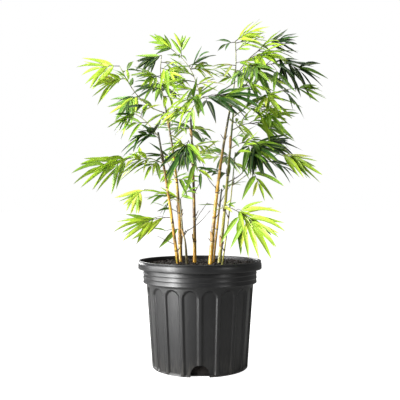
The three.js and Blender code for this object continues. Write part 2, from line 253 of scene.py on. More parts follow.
# The blow-moulded pot's section, from the middle of its underside round to the middle of its floor.
def potProfile():
    shape = potShape
    foot = shape["baseRadius"]
    profile = [(0, 1.4), (60, 1.4), (88, 1.4), (90, 0.6), (92, 0.1), (98, 0), (foot - 2.4, 0),
               (foot - 1.1, 0.5), (foot - 0.2, 1.5), (foot + 0.2, 3)]
    springLine = shape["fluteTop"] - shape["fluteHalfWidth"]
    heights = list(np.arange(6, springLine - 6, 8.0))
    heights += list(np.arange(springLine - 5, shape["fluteTop"] + 2.5, 1.3))
    profile += [(foot + wallSlope * height, height) for height in heights]
    collar, depth = shape["collarRadius"], shape["ridgeDepth"]
    profile += [(foot + wallSlope * 189.4, 189.4), (shape["bodyTopRadius"] + 0.7, 190.7),
                (shape["bodyTopRadius"] + 2.4, 191.0)]
    ridgeHeight = (shape["rimFoot"] - shape["collarFoot"]) / shape["ridges"]
    for ridge in range(shape["ridges"]):
        z = shape["collarFoot"] + ridge * ridgeHeight
        profile += [(collar - depth, z + 0.1), (collar - 0.5, z + 0.4), (collar - 0.12, z + 0.9),
                    (collar, z + 1.7), (collar - 0.1, z + 2.6), (collar - 0.45, z + 3.4),
                    (collar - depth, z + 4.4), (collar - depth, z + 9.6)]
    rim, rimFoot, top = shape["rimRadius"], shape["rimFoot"], shape["top"]
    profile += [(collar - 0.9, rimFoot + 0.3), (rim - 4, rimFoot + 0.6), (rim - 1.2, rimFoot + 0.9),
                (rim - 0.3, rimFoot + 1.8), (rim, rimFoot + 3.4), (rim - 0.1, rimFoot + 9),
                (rim - 0.5, rimFoot + 13), (rim - 1.3, rimFoot + 15.2), (rim - 2.3, rimFoot + 16),
                (rim - 2.5, rimFoot + 16.6), (rim - 1.7, rimFoot + 17.2),
                (rim - 1.3, rimFoot + 18.1),
                (rim - 1.4, rimFoot + 19.1), (rim - 2.1, top - 0.2), (rim - 3.2, top),
                (rim - 4.5, top - 0.3), (rim - 5.2, top - 1.1)]
    inner, collarInner, wall = shape["rimInner"], shape["collarInner"], shape["wall"]
    profile += [(inner, top - 3), (inner, 230), (inner, rimFoot + 5.4),
                (inner - 0.8, rimFoot + 3.9),
                (inner - 2.4, rimFoot + 3.2), (collarInner + 1, rimFoot + 2.7),
                (collarInner, rimFoot + 1.4), (collarInner, 205), (collarInner, 195.6),
                (collarInner - 1, 193.9), (shape["bodyTopRadius"] - wall, 193.3)]
    profile += [(foot + wallSlope * height - wall, height) for height in reversed(heights[1:])]
    profile += [(foot - wall, shape["floor"] + 1.2), (foot - wall - 1.4, shape["floor"]),
                (60, shape["floor"]), (0, shape["floor"])]
    return profile


# How far the wall is drawn in at a place, for the arched flutes.
def fluteDepthAt(angle, height):
    pitch = 2 * math.pi / potShape["flutes"]
    across = ((angle / pitch + 0.5) % 1 - 0.5) * pitch * potShape["bodyTopRadius"]
    halfWidth = potShape["fluteHalfWidth"]
    rise = np.maximum(height - (potShape["fluteTop"] - halfWidth), 0)
    inside = halfWidth - np.hypot(across, rise)
    foot = smoothStep((height - 1.2) / 5)
    return potShape["fluteDepth"] * smoothStep(inside / potShape["fluteBevel"]) * foot


def drawProfile(name, profile):
    deselectAll()
    bpy.ops.mesh.primitive_plane_add(size=millimetre)
    obj = bpy.context.object
    obj.name = name
    bpy.ops.object.mode_set(mode="EDIT")
    bpy.ops.mesh.merge(type="CENTER")
    bpy.ops.transform.translate(value=(profile[0][0] * millimetre, 0, profile[0][1] * millimetre))
    for (r0, z0), (r1, z1) in zip(profile, profile[1:]):
        step = ((r1 - r0) * millimetre, 0, (z1 - z0) * millimetre)
        bpy.ops.mesh.extrude_region_move(TRANSFORM_OT_translate={"value": step})
    return obj


def spinProfile(steps):
    bpy.ops.mesh.select_all(action="SELECT")
    bpy.ops.mesh.spin(steps=steps, angle=2 * math.pi, center=(0, 0, 0), axis=(0, 0, 1))
    bpy.ops.mesh.select_all(action="SELECT")
    bpy.ops.mesh.remove_doubles(threshold=2e-6)
    bpy.ops.mesh.normals_make_consistent(inside=False)
    bpy.ops.object.mode_set(mode="OBJECT")


def placesOf(obj):
    places = np.empty(len(obj.data.vertices) * 3)
    obj.data.vertices.foreach_get("co", places)
    return places.reshape(-1, 3)


def setPlaces(obj, places):
    obj.data.vertices.foreach_set("co", places.ravel())
    obj.data.update()


def notchCutters():
    cutters = []
    radius = potShape["notchHalfWidth"] * millimetre
    centre = potShape["notchTop"] * millimetre - radius
    for notch in range(potShape["notches"]):
        turn = (notch / potShape["notches"] - 0.25) * 2 * math.pi
        place = potShape["baseRadius"] * millimetre
        bpy.ops.mesh.primitive_cylinder_add(
            vertices=potShape["notchSides"], radius=radius, depth=0.03,
            location=(place * math.cos(turn), place * math.sin(turn), centre),
            rotation=(math.pi / 2, 0, turn + math.pi / 2),
        )
        cutter = bpy.context.object
        bpy.ops.object.transform_apply()
        places = placesOf(cutter)
        low = places[:, 2] < centre - 1e-6
        places[low, 2] = -0.01  # straight sides below the arch
        setPlaces(cutter, places)
        cutters.append(cutter)
    deselectAll()
    for cutter in cutters:
        cutter.select_set(True)
    bpy.context.view_layer.objects.active = cutters[0]
    bpy.ops.object.join()
    return cutters[0]


def potMaterial():
    # Blow-moulded recycled polypropylene: nearly black, with a satin skin that shows broad soft
    # highlights, faint scuffs and a little dried dust low down.
    material, tree = startMaterial("satinBlackPolypropylene")
    where = addNode(tree, "ShaderNodeTexCoord").outputs["Object"]
    cloud = noisy(tree, where, 28, 5)
    streakPlace = scaled(tree, where, (1, 1, 0.07))
    streak = noisy(tree, streakPlace, 420, 3)
    # The grain is 0.7 mm, coarser than real so that it shows.
    grain = noisy(tree, where, 1400, 2)
    ramp = ranged(tree, cloud, (0.3, 0.7))
    body = mixed(tree, ramp, linear("#0D0D0E"), linear("#141415"))
    height = addNode(tree, "ShaderNodeSeparateXYZ", {"Vector": where}).outputs["Z"]
    low = ranged(tree, height, (0.0, 0.05), (0.5, 0.0))
    dustShape = ranged(tree, streak, (0.45, 0.8))
    dust = maths(tree, "MULTIPLY", low, dustShape)
    colour = mixed(tree, dust, body, linear("#57534C"))
    rough = ranged(tree, streak, (0.3, 0.7), (0.33, 0.41))
    bump = bumped(tree, grain, 0.12, 0.0003)
    finishMaterial(tree, {
        "Base Color": colour,
        "Roughness": rough,
        "IOR": 1.49,
        "Normal": bump,
    })
    return material


def buildPot():
    pot = drawProfile("nurseryPot", potProfile())
    spinProfile(potShape["spinSteps"])
    bpy.ops.object.transform_apply()
    places = placesOf(pot)
    radius = np.hypot(places[:, 0], places[:, 1])
    heightMm = places[:, 2] / millimetre
    wallRadius = (potShape["baseRadius"] + wallSlope * heightMm) * millimetre
    onWall = (radius > wallRadius - 0.006) & (heightMm < 188)
    depth = fluteDepthAt(np.arctan2(places[:, 1], places[:, 0]), heightMm) * millimetre
    share = np.where(onWall, 1 - depth / np.maximum(radius, 1e-6), 1)
    places[:, :2] *= share[:, None]
    setPlaces(pot, places)

    cutter = notchCutters()
    selectOnly(pot)
    bpy.ops.object.modifier_add(type="BOOLEAN")
    notches = pot.modifiers[-1]
    notches.object = cutter
    notches.operation = "DIFFERENCE"
    notches.solver = "EXACT"
    bpy.ops.object.modifier_apply(modifier=notches.name)
    bpy.data.objects.remove(cutter)
    selectOnly(pot)
    bpy.ops.object.shade_smooth_by_angle(angle=math.radians(potShape["creaseAngle"]))
    pot.data.materials.clear()
    pot.data.materials.append(potMaterial())
    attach(pot, "root")
    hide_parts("pot")
    print("pot:", len(pot.data.polygons), "faces")


buildPot()


# Lists of points and faces, from which joined meshes are made.
def newSoup():
    return {"points": [], "faces": [], "uv": [], "marks": []}


def pieceFromSoup(name, soup, material, smooth=True):
    mesh = bpy.data.meshes.new(name)
    mesh.from_pydata([tuple(point) for point in soup["points"]], [], soup["faces"])
    if soup["uv"]:
        layer = mesh.uv_layers.new(name="growth")
        layer.data.foreach_set("uv", np.array(soup["uv"], dtype=float).ravel())
    if soup["marks"]:
        marks = mesh.attributes.new("nodeHeight", "FLOAT", "POINT")
        marks.data.foreach_set("value", soup["marks"])
    mesh.materials.append(material)
    mesh.polygons.foreach_set("use_smooth", [smooth] * len(mesh.polygons))
    mesh.update()
    piece = bpy.data.objects.new(name, mesh)
    bpy.context.collection.objects.link(piece)
    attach(piece, "root")
    return piece


# A closed tube along a line, its rings square to the line.
def addTube(soup, line, radii, sides, marks=None):
    line = np.asarray(line, dtype=float)
    headings = np.gradient(line, axis=0)
    side = unit(np.cross(headings[0], (0.31, 0.87, 0.38)))
    first = len(soup["points"])
    lengths = np.r_[0, np.cumsum(np.linalg.norm(np.diff(line, axis=0), axis=1))]
    for ring, (place, heading) in enumerate(zip(line, headings)):
        heading = unit(heading)
        side = unit(side - heading * side.dot(heading))
        other = np.cross(heading, side)
        for corner in range(sides):
            turn = 2 * math.pi * corner / sides
            out = side * math.cos(turn) + other * math.sin(turn)
            soup["points"].append(place + out * radii[ring])
            soup["marks"].append(0 if marks is None else marks[ring])
    for ring in range(len(line) - 1):
        for corner in range(sides):
            near = first + ring * sides + corner
            beside = first + ring * sides + (corner + 1) % sides
            soup["faces"].append((near, beside, beside + sides, near + sides))
            u0, u1 = corner / sides, (corner + 1) / sides
            v0, v1 = lengths[ring], lengths[ring + 1]
            soup["uv"] += [(u0, v0), (u1, v0), (u1, v1), (u0, v1)]
    last = first + (len(line) - 1) * sides
    soup["faces"].append(tuple(first + corner for corner in reversed(range(sides))))
    soup["faces"].append(tuple(last + corner for corner in range(sides)))
    soup["uv"] += [(0.5, 0)] * sides + [(0.5, lengths[-1])] * sides


soilShape = {
    "spinSteps": 120,
    "top": 231,
    "roughness": 2.4,  # millimetres
    "chips": 1500,
    "chipLength": (4, 13),
    "chipWidth": (0.35, 0.6),  # of its length
    "chipThickness": 0.22,
    "creaseAngle": 50,  # degrees
    "seed": 5,
}
cubeCorners = ((-1, -1, -1), (1, -1, -1), (1, 1, -1), (-1, 1, -1),
               (-1, -1, 1), (1, -1, 1), (1, 1, 1), (-1, 1, 1))
cubeFaces = ((3, 2, 1, 0), (4, 5, 6, 7), (0, 1, 5, 4), (1, 2, 6, 5), (2, 3, 7, 6), (3, 0, 4, 7))


def soilMaterial(name, dark, light, scale):
    # Peat and composted bark: matt, dark brown darkened to near-black as painted shade in the pot,
    # broken up into crumbs.
    material, tree = startMaterial(name)
    where = addNode(tree, "ShaderNodeTexCoord").outputs["Object"]
    crumbs = noisy(tree, where, scale, 6)
    spread = ranged(tree, crumbs, (0.35, 0.68))
    colour = mixed(tree, spread, linear(dark), linear(light))
    bump = bumped(tree, crumbs, 0.7, 0.0015)
    finishMaterial(tree, {
        "Base Color": colour, "Roughness": 0.93, "Normal": bump,
    })
    return material


# Chips of bark strewn over the mix, each a box with its corners worn unevenly.
def scatterChips(reachLimit):
    rng = random.Random(soilShape["seed"])
    soup = newSoup()
    for _ in range(soilShape["chips"]):
        reach = math.sqrt(rng.random()) * reachLimit
        turn = rng.uniform(0, 2 * math.pi)
        centre = np.array((reach * math.cos(turn), reach * math.sin(turn),
                           soilShape["top"] + rng.uniform(-0.5, 1.6)))
        length = rng.uniform(*soilShape["chipLength"])
        half = np.array((length, length * rng.uniform(*soilShape["chipWidth"]),
                         length * soilShape["chipThickness"])) / 2
        heading = rng.uniform(0, math.pi)
        tilt = rng.uniform(-0.45, 0.45)
        ahead = np.array((math.cos(heading) * math.cos(tilt), math.sin(heading) * math.cos(tilt),
                          math.sin(tilt)))
        beside = unit(np.cross(up, ahead))
        above = np.cross(ahead, beside)
        first = len(soup["points"])
        for sx, sy, sz in cubeCorners:
            jitter = [rng.uniform(0.55, 1.1) for _ in range(3)]
            corner = centre + ahead * sx * half[0] * jitter[0]
            corner = corner + beside * sy * half[1] * jitter[1] + above * sz * half[2] * jitter[2]
            soup["points"].append(corner * millimetre)
        for face in cubeFaces:
            soup["faces"].append(tuple(first + corner for corner in face))
    return soup


def buildSoil():
    top = soilShape["top"]
    inner = potShape["rimInner"] - 0.5
    rows = list(np.linspace(0, inner - 1, 26))
    profile = [(row, top) for row in rows] + [(inner, top - 2), (inner, 227.6), (124.2, 225)]
    profile += [(124.2, 196), (114.4, 194), (104, 60), (93, 40), (92, 3.4), (0, 3.4)]
    soil = drawProfile("pottingMix", profile)
    spinProfile(soilShape["spinSteps"])
    bpy.ops.object.transform_apply()
    places = placesOf(soil)
    for place in places:
        if place[2] > (top - 1) * millimetre:
            lump = noise.noise(Vector(place) * 55) + 0.6 * noise.noise(Vector(place) * 170)
            place[2] += lump * soilShape["roughness"] * millimetre
    setPlaces(soil, places)
    selectOnly(soil)
    bpy.ops.object.shade_smooth_by_angle(angle=math.radians(soilShape["creaseAngle"]))
    soil.data.materials.clear()
    # The mix and the chips below are near-black: partly their own dark brown, partly painted shade
    # inside the pot.
    soil.data.materials.append(soilMaterial("peatMixWithPaintedShade", "#080604", "#1B130E", 380))
    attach(soil, "root")
    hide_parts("soil")

    chips = scatterChips(inner - 6)
    chipPiece = pieceFromSoup(
        "barkChips", chips, soilMaterial("compostedBarkChips", "#0D0906", "#251911", 260), False
    )
    print("potting mix:", len(chips["faces"]), "faces of chips")


buildSoil()


# The limb that each bough leaves.
limbParents = {
    "bough_leader": "culm_right_tall",
    "bough_centre_arch": "culm_centre",
    "bough_whip": "bough_centre_arch",
    "bough_top_right": "bough_leader",
    "bough_right_high": "culm_right_tall",
    "bough_right_mid": "culm_right_olive",
    "bough_right_back": "culm_right_olive",
    "bough_right_centre": "culm_right_olive",
    "bough_right_fork": "culm_right_thin",
    "bough_right_low": "culm_right_tall",
    "bough_left_top": "culm_left_inner",
    "bough_left_high": "culm_left_inner",
    "bough_left_mid": "culm_left_outer",
    "bough_left_long": "culm_left_outer",
    "bough_left_low": "culm_left_short",
    "bough_front_mid": "culm_centre",
    "bough_back_mid": "culm_centre",
}
ringGap = 0.004  # a step along a limb that parts one ring of its CAD mesh from the next


# The distinct points of a CAD node, and the neighbours of each.
def weldedPoints(node):
    mesh = node.data
    places = placesOf(node)
    points, which = np.unique(np.round(places, 5), axis=0, return_inverse=True)
    which = which.reshape(-1)
    neighbours = [set() for _ in points]
    for polygon in mesh.polygons:
        corners = [int(which[vertex]) for vertex in polygon.vertices]
        for here, there in zip(corners, corners[1:] + corners[:1]):
            neighbours[here].add(there)
            neighbours[there].add(here)
    return points, neighbours


# An even line through the given points, and its length.
def smoothLine(points, count=160):
    ends = [2 * points[0] - points[1]] + list(points) + [2 * points[-1] - points[-2]]
    fine = []
    for start in range(1, len(ends) - 2):
        a, b, c, d = ends[start - 1:start + 3]
        for t in np.arange(0, 1, 0.05):
            fine.append(0.5 * (2 * b + (c - a) * t + (2 * a - 5 * b + 4 * c - d) * t * t
                               + (3 * b - a - 3 * c + d) * t ** 3))
    fine = np.array(fine + [points[-1]])
    lengths = np.r_[0, np.cumsum(np.linalg.norm(np.diff(fine, axis=0), axis=1))]
    wanted = np.linspace(0, lengths[-1], count)
    line = np.stack([np.interp(wanted, lengths, fine[:, axis]) for axis in range(3)], axis=1)
    return line, lengths[-1]


# The middle line of a limb and its radius along it, from the foot up.
def readLimb(name, limbs):
    points, _ = weldedPoints(cadNodes[name])
    middle = points.mean(axis=0)
    axis = np.linalg.svd(points - middle, full_matrices=False)[2][0]
    along = (points - middle) @ axis
    order = np.argsort(along)
    groups = np.split(order, np.where(np.diff(along[order]) > ringGap)[0] + 1)
    middles = [points[group].mean(axis=0) for group in groups]
    radii = [np.linalg.norm(points[group] - middle, axis=1).max()
             for group, middle in zip(groups, middles)]
    parent = limbs.get(limbParents.get(name))
    if parent is None:
        flipped = middles[0][2] > middles[-1][2]
    else:
        gaps = [np.linalg.norm(parent["line"] - end, axis=1).min()
                for end in (middles[0], middles[-1])]
        flipped = gaps[0] > gaps[1]
    if flipped:
        middles.reverse()
        radii.reverse()
    if parent is not None:
        nearest = np.linalg.norm(parent["line"] - middles[0], axis=1).argmin()
        middles[0] = parent["line"][nearest]
        radii[0] = radii[1] * 1.08
    line, length = smoothLine(middles)
    radius = np.interp(np.linspace(0, 1, len(line)), np.linspace(0, 1, len(radii)), radii)
    return {"line": line, "radius": radius, "length": length}


def pointOn(limb, share):
    place = np.clip(share, 0, 1) * (len(limb["line"]) - 1)
    low = min(int(place), len(limb["line"]) - 2)
    return limb["line"][low] + (limb["line"][low + 1] - limb["line"][low]) * (place - low)


def radiusOn(limb, share):
    return float(np.interp(share, np.linspace(0, 1, len(limb["radius"])), limb["radius"]))


limbs = {}
for limbName in sorted(name for name in cadNodes if name.startswith("culm_")):
    limbs[limbName] = readLimb(limbName, limbs)
for limbName in limbParents:
    limbs[limbName] = readLimb(limbName, limbs)
print("limbs read:", len(limbs))


caneShape = {
    "sides": 18,
    "internode": (0.05, 0.074),
    "firstNode": (0.262, 0.29),
    "betweenRings": 0.014,
    "nodes": {  # heights of nodes above the ground that stand where they are on the plant
        "culm_centre": (0.281, 0.338, 0.395, 0.458),
        "culm_left_outer": (0.262, 0.325, 0.404, 0.462),
        "culm_left_inner": (0.276, 0.347, 0.418, 0.486),
        "culm_left_short": (0.295, 0.34),
        "culm_right_short": (0.309, 0.362),
        "culm_right_olive": (0.271, 0.352, 0.434, 0.5),
    },
    # The section of one node: how far above it in millimetres, and the radius as a share.
    "nodeRelief": ((-7, 1.0), (-2.6, 1.02), (-0.9, 1.13), (-0.2, 1.16), (0.3, 1.03), (1.3, 1.1),
                   (2.6, 1.12), (4.8, 1.04), (8, 1.0)),
    "olive": ("culm_right_olive", "culm_right_thin"),
    "dark": ("culm_left_short",),
    "creaseAngle": 50,  # degrees
    "seed": 11,
}
# Each cane's rind: pale and warm fibres, stripe, dark streaks (partly stain, partly painted shade)
# and how much of them, and the darker top.
caneLooks = {
    "gold": ("ripenedGoldenCane", "#D6A633", "#94661C", "#8A9A2A", "#331F0D", 0.9, "#35351A"),
    "olive": ("greenStripedCane", "#A39A36", "#7C782A", "#4F5C1E", "#33260F", 0.65, "#45521E"),
    "dark": ("brownedYoungCane", "#6E5F28", "#40381A", "#6E7A2E", "#21160C", 0.8, "#4A4A1E"),
}
nodeShares = {}  # where each limb's nodes are, as shares of its length


# A limb's rings, with a ridge at each node, and how far each ring is above its nearest node.
def relieved(limb, shares, betweenRings, reliefScale):
    length = limb["length"]
    stops = {0.0: 1.0, 1.0: 1.0}
    marks = sorted(shares)
    for share in marks:
        for above, factor in caneShape["nodeRelief"]:
            place = share + above * millimetre * reliefScale / length
            if 0 < place < 1:
                stops[place] = factor
    ordered = sorted(stops)
    filled = []
    for start, end in zip(ordered, ordered[1:]):
        filled.append(start)
        extra = int((end - start) * length / betweenRings)
        filled += [start + (end - start) * (i + 1) / (extra + 1) for i in range(extra)]
    filled.append(1.0)
    line = [pointOn(limb, share) for share in filled]
    radii = [radiusOn(limb, share) * float(np.interp(share, ordered, [stops[s] for s in ordered]))
             for share in filled]
    heights = []
    for share in filled:
        nearest = min(marks, key=lambda mark: abs(mark - share)) if marks else share
        heights.append((share - nearest) * length)
    return line, radii, heights


def caneMaterial(name, pale, warm, stripe, stainAndShade, stainAndShadeAmount, topColour):
    # Ripened bamboo cane: a hard waxy rind with a soft gloss, fine fibres running up it, a few
    # green stripes left from its first year, and a dark scar with a pale bloom at each node.
    material, tree = startMaterial(name)
    where = addNode(tree, "ShaderNodeTexCoord").outputs["Object"]
    upright = scaled(tree, where, (1, 1, 0.05))
    # The fibre bundles are 0.8 mm apart.
    fibres = noisy(tree, upright, 1300, 3)
    stripes = noisy(tree, upright, 330, 1)
    blotches = noisy(tree, upright, 130, 4)
    fibreShare = ranged(tree, fibres, (0.38, 0.6))
    rind = mixed(tree, fibreShare, linear(warm), linear(pale))
    stripeShare = ranged(tree, stripes, (0.6, 0.66), (0, 0.7))
    striped = mixed(tree, stripeShare, rind, linear(stripe))
    # Dark brown streaks up the rind: partly real stains, partly painted shade for the shaded sides
    # of the canes.
    stainAndShadeShare = ranged(tree, blotches, (0.47, 0.59), (0, stainAndShadeAmount))
    stainedAndShaded = mixed(tree, stainAndShadeShare, striped, linear(stainAndShade))
    # Darker olive towards the top of each cane.
    rise = addNode(tree, "ShaderNodeAttribute", attribute_name="rise").outputs["Fac"]
    topShare = ranged(tree, rise, (0.5, 0.85))
    darkerTopMix = mixed(tree, topShare, stainedAndShaded, linear(topColour))
    above = addNode(tree, "ShaderNodeAttribute", attribute_name="nodeHeight").outputs["Fac"]
    bloom = ranged(tree, above, (-0.009, -0.0015), (0, 0.45))
    under = maths(tree, "LESS_THAN", above, -0.0008)
    bloomShare = maths(tree, "MULTIPLY", bloom, under)
    bloomed = mixed(tree, bloomShare, darkerTopMix, linear("#CFC08C"))
    offset = maths(tree, "ABSOLUTE", above)
    scar = ranged(tree, offset, (0.0006, 0.0022), (0.92, 0.0))
    scarred = mixed(tree, scar, bloomed, linear("#2A190C"))
    rough = ranged(tree, blotches, (0, 1), (0.3, 0.5))
    bump = bumped(tree, fibres, 0.25, 0.0003)
    finishMaterial(tree, {
        "Base Color": scarred,
        "Roughness": rough,
        "IOR": 1.5,
        "Coat Weight": 0.15,
        "Normal": bump,
    })
    return material


# Extrudes a ring of the cane upwards, from one stop of its line to the next.
def growCane(name, line, radii, heights):
    deselectAll()
    bpy.ops.mesh.primitive_circle_add(
        vertices=caneShape["sides"], radius=radii[0], fill_type="NGON", location=line[0]
    )
    cane = bpy.context.object
    cane.name = name
    bpy.ops.object.mode_set(mode="EDIT")
    for ring in range(1, len(line)):
        step = line[ring] - line[ring - 1]
        bpy.ops.mesh.extrude_region_move(TRANSFORM_OT_translate={"value": step})
        grow = radii[ring] / radii[ring - 1]
        bpy.ops.transform.resize(value=(grow, grow, 1), center_override=line[ring])
    bpy.ops.mesh.select_all(action="SELECT")
    bpy.ops.mesh.normals_make_consistent(inside=False)
    bpy.ops.object.mode_set(mode="OBJECT")
    bpy.ops.object.transform_apply()
    ringHeights = np.array([place[2] for place in line])
    values = np.interp(placesOf(cane)[:, 2], ringHeights, heights)
    marks = cane.data.attributes.new("nodeHeight", "FLOAT", "POINT")
    marks.data.foreach_set("value", values)
    rises = (placesOf(cane)[:, 2] - ringHeights[0]) / (ringHeights[-1] - ringHeights[0])
    cane.data.attributes.new("rise", "FLOAT", "POINT").data.foreach_set("value", rises)
    bpy.ops.object.shade_smooth_by_angle(angle=math.radians(caneShape["creaseAngle"]))
    return cane


def buildCanes():
    rng = random.Random(caneShape["seed"])
    finishes = {look: caneMaterial(*colours) for look, colours in caneLooks.items()}
    for name in sorted(name for name in limbs if name.startswith("culm_")):
        limb = limbs[name]
        top = limb["line"][-1][2]
        foot = limb["line"][0][2]
        heights = list(caneShape["nodes"].get(name, (rng.uniform(*caneShape["firstNode"]),)))
        while heights[-1] + caneShape["internode"][1] < top:
            heights.append(heights[-1] + rng.uniform(*caneShape["internode"]))
        places = np.linspace(0, 1, len(limb["line"]))
        shares = [float(np.interp(height, limb["line"][:, 2], places))
                  for height in heights if foot < height < top]
        nodeShares[name] = shares
        line, radii, marks = relieved(limb, shares, caneShape["betweenRings"], 1.0)
        cane = growCane(name.replace("culm_", "cane_"), line, radii, marks)
        look = next((look for look in ("olive", "dark") if name in caneShape[look]), "gold")
        cane.data.materials.clear()
        cane.data.materials.append(finishes[look])
        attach(cane, "root")
        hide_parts(name)
    print("canes:", len(nodeShares))


buildCanes()


branchShape = {
    "sides": 9,
    "slimness": 0.72,  # share of the CAD limb's width
    "internode": (0.024, 0.038),
    "betweenRings": 0.008,
    "reliefScale": 0.45,
    "bareTip": 0.004,
    "seed": 23,
    # Bare twigs: the limb, how far up it, where the twig goes from there in metres, its thickness.
    "bareTwigs": (
        ("culm_left_short", 0.47, (0.062, -0.01, 0.052), 1.1),
        ("culm_right_olive", 0.52, (0.056, -0.012, 0.05), 1.3),
        ("culm_centre", 0.27, (0.03, -0.008, 0.05), 1.1),
        ("culm_left_outer", 0.15, (-0.04, -0.01, 0.02), 0.9),
        ("culm_right_tall", 0.42, (-0.034, -0.02, 0.062), 1.0),
        ("culm_left_inner", 0.5, (-0.026, 0.034, 0.05), 1.0),
        ("culm_right_short", 0.8, (0.03, 0.04, 0.05), 1.0),
    ),
    "twigRings": 14,
    "twigSides": 6,
    "stubLength": (0.006, 0.019),
    "stubRadii": (1.3, 1.25, 1.1, 0.95, 0.8, 0.6),  # millimetres
}
sheathShape = {
    "height": (0.016, 0.032),
    "share": 0.42,  # of the nodes keep theirs
    "columns": 8,
    "rows": 6,
    "halfSpread": 118,  # degrees at the foot
    "thickness": 0.0003,
    "seed": 31,
}


def branchMaterial():
    # Branch wood of bamboo: a thinner rind than the cane's, olive turning straw, ringed at joints.
    return caneMaterial("oliveBranchRind", "#7E8636", "#596425", "#46561C", "#3A2814", 0.6,
                        "#5E7426")


def buildBranches():
    rng = random.Random(branchShape["seed"])
    soup = newSoup()
    for name in limbParents:
        limb = limbs[name]
        shares, place = [], rng.uniform(0.2, 0.6) * branchShape["internode"][0]
        while place < limb["length"] - branchShape["bareTip"]:
            shares.append(place / limb["length"])
            place += rng.uniform(*branchShape["internode"])
        nodeShares[name] = shares
        line, radii, marks = relieved(
            limb, shares, branchShape["betweenRings"], branchShape["reliefScale"]
        )
        slim = [radius * branchShape["slimness"] for radius in radii]
        addTube(soup, line, slim, branchShape["sides"], marks)
    material = branchMaterial()
    branches = pieceFromSoup("branches", soup, material)
    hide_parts(*limbParents)

    twigs = newSoup()
    for name, share, reach, thickness in branchShape["bareTwigs"]:
        start = pointOn(limbs[name], share)
        reach = np.array(reach)
        bend = np.array([rng.uniform(-0.006, 0.006) for _ in range(3)])
        rings = branchShape["twigRings"]
        line, _ = smoothLine([start, start + reach * 0.45 + bend, start + reach], rings)
        radii = np.linspace(thickness, thickness * 0.45, rings) * millimetre
        addTube(twigs, line, radii, branchShape["twigSides"])
    for name, shares in nodeShares.items():
        if not name.startswith("culm_"):
            continue
        for share in shares:
            for _ in range(rng.choice((1, 1, 2))):
                start = pointOn(limbs[name], share)
                turn = rng.uniform(0, 2 * math.pi)
                out = np.array((math.cos(turn), math.sin(turn), 0))
                size = rng.uniform(*branchShape["stubLength"])
                wall = radiusOn(limbs[name], share)
                tip = start + out * (size * 0.55 + wall) + up * size
                radii = np.array(branchShape["stubRadii"]) * millimetre
                bend = start + out * wall * 1.1 + up * 0.002
                line, _ = smoothLine([start, bend, tip], len(radii))
                addTube(twigs, line, radii, branchShape["twigSides"])
    twigPiece = pieceFromSoup("bareTwigs", twigs, material)
    print("branches and twigs:", len(soup["faces"]) + len(twigs["faces"]), "faces")


buildBranches()


def sheathMaterial():
    # Dried culm sheath: papery, straw to brown, matt, ribbed along its length.
    material, tree = startMaterial("dryPaperySheath")
    grown = addNode(tree, "ShaderNodeUVMap", uv_map="growth").outputs["UV"]
    ribPlace = scaled(tree, grown, (34, 2, 1))
    ribs = noisy(tree, ribPlace, 1, 4)
    spread = ranged(tree, ribs, (0.3, 0.7))
    colour = mixed(tree, spread, linear("#6E4F2A"), linear("#B99A62"))
    bump = bumped(tree, ribs, 0.5, 0.0004)
    finishMaterial(tree, {
        "Base Color": colour, "Roughness": 0.75, "Normal": bump,
    })
    return material


# The faces of a grid of points, and where each face's corners are on it.
def addGrid(soup, first, columns, rows):
    for row in range(len(rows) - 1):
        for column in range(columns - 1):
            here = first + row * columns + column
            soup["faces"].append((here, here + 1, here + columns + 1, here + columns))
            for c, r in ((0, 0), (1, 0), (1, 1), (0, 1)):
                soup["uv"].append(((column + c) / (columns - 1), rows[row + r]))


# Papery sheaths that still clasp some nodes of the canes.
def buildSheaths():
    material = sheathMaterial()
    rng = random.Random(sheathShape["seed"])
    soup = newSoup()
    columns, rows = sheathShape["columns"], sheathShape["rows"]
    for name, shares in nodeShares.items():
        if not name.startswith("culm_"):
            continue
        for share in shares:
            if rng.random() > sheathShape["share"]:
                continue
            limb = limbs[name]
            height = rng.uniform(*sheathShape["height"])
            facing = rng.uniform(0, 2 * math.pi)
            first = len(soup["points"])
            for row in range(rows):
                rise = row / (rows - 1)
                centre = pointOn(limb, share + rise * height / limb["length"])
                radius = radiusOn(limb, share) * 1.08 + (0.0003 + 0.0022 * rise ** 2)
                halfSpread = math.radians(sheathShape["halfSpread"]) * (1 - rise ** 1.7 * 0.93)
                for column in range(columns):
                    turn = facing + halfSpread * (2 * column / (columns - 1) - 1)
                    ragged = rng.uniform(-0.0006, 0.0006) * rise
                    soup["points"].append(centre + np.array(
                        (math.cos(turn), math.sin(turn), 0)) * (radius + ragged))
            addGrid(soup, first, columns, [row / (rows - 1) for row in range(rows)])
    sheaths = pieceFromSoup("drySheaths", soup, material)
    selectOnly(sheaths)
    bpy.ops.object.modifier_add(type="SOLIDIFY")
    sheaths.modifiers[-1].thickness = sheathShape["thickness"]
    bpy.ops.object.modifier_apply(modifier=sheaths.modifiers[-1].name)
    print("sheaths:", len(sheaths.data.polygons), "faces")


buildSheaths()


leafShape = {
    "stations": (0, 0.05, 0.13, 0.27, 0.45, 0.63, 0.79, 0.91),
    "widths": (0.1, 0.3, 0.76, 1.0, 0.96, 0.78, 0.5, 0.24),
    "across": (-1, -0.5, 0, 0.5, 1),
    "widthShare": 0.158,  # of the leaf's length
    "widthRange": (0.0075, 0.0138),
    "widthVariety": (0.78, 1.16),
    "fold": 0.24,
    "arch": 0.1,
    "twist": 0.6,
    "stemShare": (0.46, 0.64),
    "longest": 0.092,  # a leaf that would be longer grows from a twig of its own
    "extraLeaves": 0.9,  # for each tip of a mass, leaves that fill in beside the main ones
    "shortest": 0.034,
    "seed": 41,
}

